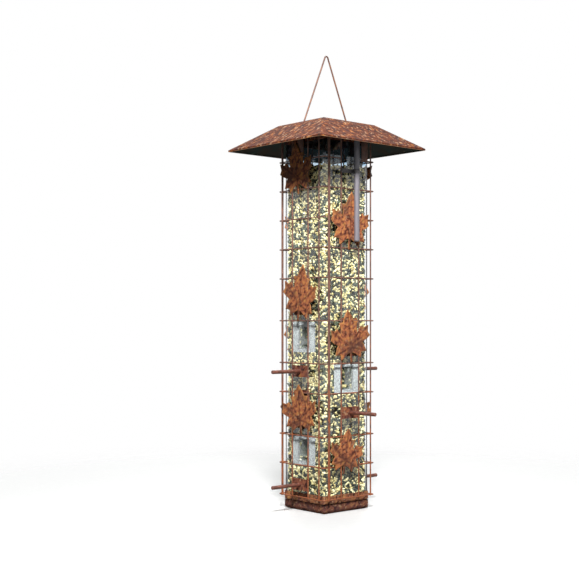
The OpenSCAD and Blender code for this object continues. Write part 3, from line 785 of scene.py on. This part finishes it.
    def top(self, rng: np.random.Generator) -> Object:
        """Lays the seeds that can be seen from above."""
        reach = self.half - 3 * MM
        line = np.arange(-reach, reach + 0.1 * MM, self.step[0])
        places = []
        for depth in self.top_layers:
            x, y = np.meshgrid(line, line)
            flat = np.stack([x, y, np.zeros_like(x)], axis=-1)
            flat[..., :2] += rng.uniform(-0.4, 0.4, (*x.shape, 2)) * self.step[0]
            flat[..., :2] = np.clip(flat[..., :2], -reach, reach)
            slope = 1 - abs(flat[..., :2]).max(-1) / reach
            unevenness = self.top_wave * waves(flat[..., :2], self.wave_length, rng)
            flat[..., 2] = self.top_z - 3 * MM - depth + unevenness
            flat[..., 2] += self.heap * np.clip(slope * 1.3, 0, 1)
            places.append(flat.reshape(-1, 3))
        centres = np.vstack(places)
        return self.scatter("seed_top", centres, np.broadcast_to([0.0, 0.0, 1.0], centres.shape), rng)

    def ports(self, rng: np.random.Generator) -> Object:
        """Heaps seeds at the back of each port and on its floor."""
        centres, normals = [], []
        for face, port_z in PORTS.values():
            a, v = np.meshgrid(np.linspace(-8.2, 8.2, 5) * MM, np.linspace(0, 1, 8))
            a = a + rng.uniform(-1.4, 1.4, a.shape) * MM
            a, v = a.ravel(), v.ravel()
            back = np.clip(v * 2 - 0.9, 0, 1)
            floor = np.clip(1 - v / 0.45, 0, 1)
            out = (28.6 + 9.0 * floor + rng.uniform(-0.5, 0.5, a.shape)) * MM
            z = port_z + (-12.6 + 1.5 * (1 - floor) + 22.0 * back + rng.uniform(-0.5, 0.5, a.shape)) * MM
            centres.append(face.place(a, out, z))
            tilt = np.where(back > 0, 0.15, 0.9)
            normals.append(face.place(np.zeros_like(a), 1 - tilt, tilt))
        return self.scatter("seed_in_ports", np.vstack(centres), np.vstack(normals), rng)

    def build(self) -> None:
        """Builds all the seed."""
        rng = np.random.default_rng(self.random_seed)
        self.core(rng)
        for face in Face:
            self.wall(face, rng)
        self.top(rng)
        self.ports(rng)


@dataclass
class Leaf:
    """A leaf stamped from sheet steel, with raised veins and lobes that curl off the cage's wires."""

    node: str
    face: Face
    low: float
    across: float
    width: float
    height: float
    tilt: float
    thickness: float = 0.8 * MM
    back: float = 52.8 * MM
    curl: float = 2.2 * MM
    flat_half: float = 18 * MM
    vein_relief: float = 0.3 * MM
    vein_width: float = 1.3 * MM
    root_share: float = 0.30
    ring_shares: tuple[float, ...] = (0.06, 0.2, 0.36, 0.52, 0.68, 0.82, 0.92, 0.975, 1.0, 1.0, 0.5)

    def outline(self) -> np.ndarray:
        """Returns the leaf's edge, clockwise from its stalk, in the leaf's own plane."""
        half = np.array(
            [
                *[(0.022, 0.0), (0.022, 0.19), (0.12, 0.15), (0.25, 0.06), (0.27, 0.17)],
                *[(0.40, 0.17), (0.35, 0.30), (0.31, 0.35), (0.42, 0.40), (0.50, 0.46)],
                *[(0.46, 0.54), (0.48, 0.66), (0.37, 0.62), (0.31, 0.66), (0.21, 0.55)],
                *[(0.20, 0.64), (0.24, 0.76), (0.14, 0.77), (0.09, 0.88), (0.0, 1.0)],
            ]
        )
        edge = np.vstack([half, half[-2::-1] * (-1, 1)])[::-1] * (self.width, self.height)
        start, end = edge, np.roll(edge, -1, axis=0)
        share = np.arange(4)[None, :, None] / 4
        return (start[:, None] + (end - start)[:, None] * share).reshape(-1, 2)

    def off_vein(self, flat: np.ndarray) -> np.ndarray:
        """Returns how far points of the leaf's plane lie from its nearest vein."""
        size = np.array([self.width, self.height])
        root = np.array([0, self.root_share]) * size
        tips = [(0, 0.96), (0.46, 0.64), (-0.46, 0.64), (0.37, 0.18), (-0.37, 0.18), (0, 0.0)]
        run = np.array(tips) * size - root
        share = np.clip((flat - root) @ run.T / np.sum(run * run, axis=1), 0, 1)
        near = root + share[..., None] * run
        return np.linalg.norm(flat[..., None, :] - near, axis=-1).min(-1)

    def build(self, coat: Material) -> Object:
        """Builds the leaf in place of its CAD node."""
        edge = self.outline()
        root = np.array([0, self.root_share * self.height])
        shares = np.array(self.ring_shares)
        flat = root + (edge - root)[None] * shares[:, None, None]
        off = self.off_vein(flat)
        rise = self.vein_relief * np.exp(-((off / self.vein_width) ** 2))
        rise -= 0.35 * self.thickness * (shares >= 0.99)[:, None]
        front = np.arange(len(shares)) < len(shares) - 2
        lobe = np.clip((abs(flat[..., 0]) - self.flat_half) / (self.width / 2 - self.flat_half), 0, 1)
        out = self.back + np.where(front[:, None], self.thickness + rise, 0) + self.curl * lobe**2
        turn = math.radians(self.tilt)
        x, y = flat[..., 0], flat[..., 1] - self.height / 2
        a = self.across + x * math.cos(turn) - y * math.sin(turn)
        z = self.low + self.height / 2 + x * math.sin(turn) + y * math.cos(turn)
        verts, faces = closed_grid(self.face.place(a, out, z))
        mesh = build_mesh(f"{self.node}_stamped", verts, faces)
        u = np.append(np.broadcast_to(shares[:, None], off.shape).ravel(), [0, 0])
        v = np.append(np.clip(off / (6 * MM), 0, 1).ravel(), [0, 0])
        corner = np.empty(len(mesh.loops), np.int32)
        mesh.loops.foreach_get("vertex_index", corner)
        layer = mesh.uv_layers.new(name="edge_and_vein")
        layer.data.foreach_set("uv", np.stack([u[corner], v[corner]], axis=-1).astype(np.float32).ravel())
        return add_piece(f"{self.node}_stamped", mesh, Body.SHROUD, [coat], [self.node])


@dataclass
class Hopper:
    """The fixed part: base, clear tube, ports, seed, bail, hanging rods and springs."""

    empty_z: float = 509 * MM
    bail_half: float = 46.5 * MM
    bail_hook_in: float = 36 * MM
    bail_hook_z: float = 524.35 * MM
    bail_hook_up: float = 8 * MM
    lid_top_z: float = 567.35 * MM
    bail_rise: float = 113 * MM
    bail_bend: float = 3 * MM
    bail_radius: float = 1.2 * MM
    spring_across: float = 8 * MM
    spring_out: float = 57.65 * MM
    spring_z: tuple[float, float] = (404.85 * MM, 500.0 * MM)
    spring_radius: float = 2.5 * MM
    spring_wire: float = 0.5 * MM
    spring_curls: int = 20
    travel: float = 55 * MM

    def build(self) -> None:
        """Dresses the hopper."""
        # Painted light and shade: the foot's coat is darkened and the cup's coat lightened, so the base reads
        # lit at its top and shaded at its foot
        foot = {"deep": "#4B3030", "mid": "#72483F", "warm": "#875645", "bright": "#A87450"}
        dress_nodes(RustCoat("rust_look_coat_on_cast_foot", **foot).build(), "base_foot")
        cup_in_painted_light = {"mid": "#8C5A46", "warm": "#A66E4B", "bright": "#C38E5A"}
        dress_nodes(RustCoat("rust_look_coat_on_base_cup", **cup_in_painted_light).build(), "base_cup")
        zinc = BareMetal("zinc_plated_steel_rod", "#ACA69C", "#8C867D", metallic=0.75, roughness=0.42)
        rods = [f"{part}_{side}" for part in ("hanging_rod", "rod_nut") for side in ("right", "left")]
        dress_nodes(zinc.build(), *rods, "base_screws")
        # The tube's pale blue above the seed is painted light seen through its empty end
        tube = {"tint": "#FDFEFE", "painted_light_tint_above": "#CFE6F7", "above_z": self.empty_z}
        dress_nodes(ClearPlastic("extruded_clear_tube", roughness=0.02, **tube).build(), "seed_tube")
        port = {"tint": "#F8FCFC", "painted_light_tint_above": "#F8FCFC", "above_z": 1.0}
        ports = ClearPlastic("moulded_clear_port", roughness=0.08, transmission=0.89, ripple_mm=12, **port)
        dress_nodes(ports.build(), *(f"port_{name}" for name in PORTS))
        SeedBulk(
            pale=SeedHusk("cream_safflower_husk", "#F0E8B8", "#D1C588", "#8B7C49").build(),
            dark=SeedHusk("black_sunflower_husk", "#4B5744", "#272E22", "#10140E").build(),
        ).build()
        self.bail()
        self.springs()

    def bail(self) -> Object:
        """Bends the bail's wire, with its hooks through the tube."""
        leg = np.array(
            [
                [0, self.bail_hook_in, self.bail_hook_z + self.bail_hook_up],
                [0, self.bail_hook_in, self.bail_hook_z],
                [0, self.bail_half, self.bail_hook_z],
                [0, self.bail_half, self.lid_top_z],
            ]
        )
        apex = [[0, 0, self.lid_top_z + self.bail_rise]]
        path = round_corners(np.vstack([leg, apex, leg[::-1] * (1, -1, 1)]), self.bail_bend, 8)
        verts, faces = sweep(path, np.broadcast_to([1.0, 0, 0], path.shape), self.bail_radius, 16)
        coat = WireCoat(name="dip_coated_bail_wire", rust="#A06A45", rust_top=0.9).build()
        mesh = build_mesh("bail_wire", verts, faces)
        return add_piece("bail_wire", mesh, Body.HOPPER, [coat], ["bail"])

    def springs(self) -> None:
        """Winds the two springs at their length with the feeder open; the real springs shorten as the cage
        drops.
        """
        steel = BareMetal("bright_spring_wire", "#C4C4C6", "#A5A5A8", metallic=1.0, roughness=0.3).build()
        low, high = self.spring_z
        tail = 2 * self.spring_wire
        turn = np.linspace(0, 2 * math.pi * self.spring_curls, self.spring_curls * 20 + 1)
        for face in (Face.RIGHT, Face.LEFT):
            a = np.concatenate([turn[:1], turn, turn[-1:]])
            z = np.concatenate([[low], np.linspace(low + tail, high - tail, len(turn)), [high]])
            around = np.stack([np.cos(a), np.sin(a), np.zeros_like(a)], axis=-1)
            foot = face.place(np.array(self.spring_across), np.array(self.spring_out), np.array(0.0))
            path = foot + around * self.spring_radius + z[:, None] * np.array([0, 0, 1])
            verts, faces = sweep(path, around, self.spring_wire, 8)
            side = face.name.lower()
            mesh = build_mesh(f"spring_wound_{side}", verts, faces)
            spring = add_piece(mesh.name, mesh, Body.HOPPER, [steel], [f"spring_{side}"])
            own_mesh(spring)


@dataclass
class Shroud:
    """The dropping part: roof, cage, perches, leaves, shutters and the grey spring tubes."""

    leaf_width: float = 76 * MM
    leaf_height: float = 78 * MM
    curl: float = 2.2 * MM

    def leaves(self) -> list[Leaf]:
        """Returns the twelve leaves. The top leaves of the side faces lie flat under the spring tubes."""
        w, h = self.leaf_width, self.leaf_height
        front = [("top", 465.2, -0.08, 0.95, 1.0, 6), ("upper", 279.0, 0.03, 0.97, 1.08, -8)]
        front += [("lower", 112.75, 0.01, 1.03, 0.95, 5)]
        side = [("top", 383.66, -0.01, 1.0, 1.1, -4), ("middle", 218.75, -0.03, 1.03, 1.0, 6)]
        side += [("low", 56.88, -0.12, 0.87, 0.85, -9)]
        leaves = []
        for face in Face:
            for name, low, x, wide, high, tilt in side if face.value % 2 else front:
                curl = 0.0 if face.value % 2 and name == "top" else self.curl
                node = f"leaf_{face.name.lower()}_{name}"
                leaves.append(Leaf(node, face, low * MM, x * w, wide * w, high * h, tilt, curl=curl))
        return leaves

    def build(self) -> None:
        """Dresses the shroud."""
        dress_nodes(RoofCoat().build(), "roof")
        dress_nodes(WireCoat().build(), "cage_front", "cage_right", "cage_back", "cage_left", "roof_tabs")
        plate = RustCoat("rust_look_coat_on_plates", mid="#844F3F", warm="#9C604A", bright="#B67549")
        plates = [f"{part}_{name}" for part in ("perch_plate", "shutter") for name in PORTS]
        dress_nodes(plate.build(), *plates)
        even = {"metallic": 0.0, "stretch": (1, 1, 1)}
        fittings = {"roughness": 0.5, "grain_mm": 1.0, **even}
        rods = BareMetal("dip_coated_perch_rod", "#8E5746", "#663F35", roughness=0.42, grain_mm=2.4, **even)
        dress_nodes(rods.build(), *(f"perch_rod_{name}" for name in PORTS))
        grey = BareMetal("grey_painted_steel_tube", "#98939A", "#88838A", metallic=0.1, roughness=0.4)
        dress_nodes(grey.build(), "spring_sleeve_right", "spring_sleeve_left")
        dark = BareMetal("moulded_grey_end_fittings", "#6B6668", "#575355", **fittings)
        dress_nodes(dark.build(), "sleeve_caps", "sleeve_plugs", "sleeve_clips")
        coat = LeafCoat().build()
        for leaf in self.leaves():
            leaf.build(coat)


@dataclass
class Lid:
    """The metal cap that slides up the bail."""

    def build(self) -> None:
        """Dresses the lid."""
        dress_nodes(RustCoat("rust_look_coat_on_pressed_lid", mid="#8C4F3B", warm="#A86246").build(), "lid")


@dataclass(frozen=True)
class Lamp:
    """A square soft lamp that faces the feeder.

    Its azimuth is counted from the front as for the camera, its elevation is its angle above
    the horizon, both in degrees, and its power is in watts.
    """

    name: str
    azimuth: float
    elevation: float
    distance: float
    size: float
    power: float


@dataclass
class Studio:
    """Camera, lamps, pale floor and white surroundings."""

    azimuth: float = 48.0
    distance: float = 1.7
    height: float = 0.2796
    lens: float = 70.6
    shift: tuple[float, float] = (-0.0637, 0.0535)
    lamps: tuple[Lamp, ...] = (Lamp("key", 50, 40, 1.8, 0.3, 44), Lamp("rear", 228, 40, 1.8, 0.8, 20))
    lamp_aim: float = 0.3
    floor_radius: float = 1.2
    floor_fade: tuple[float, float] = (0.22, 0.95)
    floor_bounce: float = 0.3
    surround: float = 0.08
    sky: str = "#D3E4E6"

    def build(self) -> None:
        """Sets up the studio."""
        self.camera()
        for lamp in self.lamps:
            self.light(lamp)
        self.floor()
        self.surroundings()
        bpy.context.scene.view_settings.view_transform = "Standard"

    def camera(self) -> None:
        """Sets up the level camera of the photograph's view."""
        data = bpy.data.cameras.new("camera")
        data.sensor_fit = "HORIZONTAL"
        data.sensor_width = 36
        data.lens = self.lens
        data.shift_x, data.shift_y = self.shift
        camera = bpy.data.objects.new("camera", data)
        turn = math.radians(self.azimuth)
        camera.location = (math.sin(turn) * self.distance, -math.cos(turn) * self.distance, self.height)
        camera.rotation_euler = (math.pi / 2, 0, turn)
        bpy.context.scene.collection.objects.link(camera)
        bpy.context.scene.camera = camera

    def light(self, lamp: Lamp) -> None:
        """Adds a lamp, aimed at the middle of the feeder."""
        data = bpy.data.lights.new(lamp.name, "AREA")
        data.size, data.energy = lamp.size, lamp.power
        a, e = math.radians(lamp.azimuth), math.radians(lamp.elevation)
        away = np.array([math.sin(a) * math.cos(e), -math.cos(a) * math.cos(e), math.sin(e)])
        stand = bpy.data.objects.new(lamp.name, data)
        stand.location = away * lamp.distance + (0, 0, self.lamp_aim)
        stand.rotation_euler = (math.pi / 2 - e, 0, a)
        bpy.context.scene.collection.objects.link(stand)

    def floor(self) -> None:
        """Lays a pale round floor that fades out into the white surroundings."""
        rings = np.linspace(0.02, 1, 24) * self.floor_radius
        a = np.linspace(0, 2 * math.pi, 96, endpoint=False)
        points = rings[:, None, None] * np.stack([np.cos(a), np.sin(a), np.zeros_like(a)], axis=-1)
        quads = ring_quads(len(rings), len(a))[:, [0, 3, 2, 1]]
        mesh = build_mesh("floor", points.reshape(-1, 3), [quads, np.arange(len(a))[None]])
        sh = Shader(bpy.data.materials.new("matt_white_paper_floor"))
        where = sh.add("TexCoord").outputs["Object"]
        reach = sh.add("VectorMath", {0: where}, operation="LENGTH").outputs["Value"]
        near, far = self.floor_fade
        edge = {0: reach, 1: near, 2: far, 3: 0.0, 4: 1.0}
        fade = sh.add("MapRange", edge, interpolation_type="SMOOTHSTEP")
        grain = sh.add("TexNoise", {"Vector": where, "Scale": 90.0, "Detail": 2.0}).outputs[0]
        tone = sh.add("ValToRGB", {0: grain}, stops=[(0.3, "#FAFAF9"), (0.7, "#FDFDFC")]).outputs[0]
        bounced = sh.span(sh.add("LightPath").outputs["Is Camera Ray"], 0.0, 1.0, self.floor_bounce, 1.0)
        seen = sh.add("VectorMath", {0: tone, "Scale": bounced}, operation="SCALE").outputs[0]
        paper = sh.add("BsdfDiffuse", {"Color": seen})
        clear = sh.add("BsdfTransparent")
        both = sh.add("MixShader", {0: fade.outputs[0], 1: paper.outputs[0], 2: clear.outputs[0]})
        mesh.materials.append(sh.finish(both.outputs[0]))
        floor = bpy.data.objects.new("floor", mesh)
        bpy.context.scene.collection.objects.link(floor)

    def surroundings(self) -> None:
        """Makes the surroundings white to look at, and softer as a source of light."""
        world = bpy.data.worlds.new("surroundings")
        bpy.context.scene.world = world
        sh = Shader(world)
        rays = sh.add("LightPath").outputs
        bounced = {0: rays["Is Glossy Ray"], 1: rays["Is Transmission Ray"]}
        mirrored = sh.add("Math", bounced, operation="MAXIMUM")
        seen = sh.add("Math", {0: rays["Is Camera Ray"], 1: mirrored.outputs[0]}, operation="MAXIMUM")
        strength = sh.span(seen.outputs[0], 0.0, 1.0, self.surround, 1.0)
        blend = {0: seen.outputs[0], 6: linear(self.sky), 7: linear("#FFFFFF")}
        sky = sh.add("Mix", blend, data_type="RGBA")
        white = sh.add("Background", {"Color": sky.outputs[2], "Strength": strength})
        sh.finish(white.outputs[0], "OutputWorld")


def main() -> None:
    """Builds the whole scene."""
    logging.basicConfig(level=logging.INFO, format="%(message)s")
    Hopper().build()
    Lid().build()
    Shroud().build()
    Studio().build()


if __name__ == "__main__":
    main()
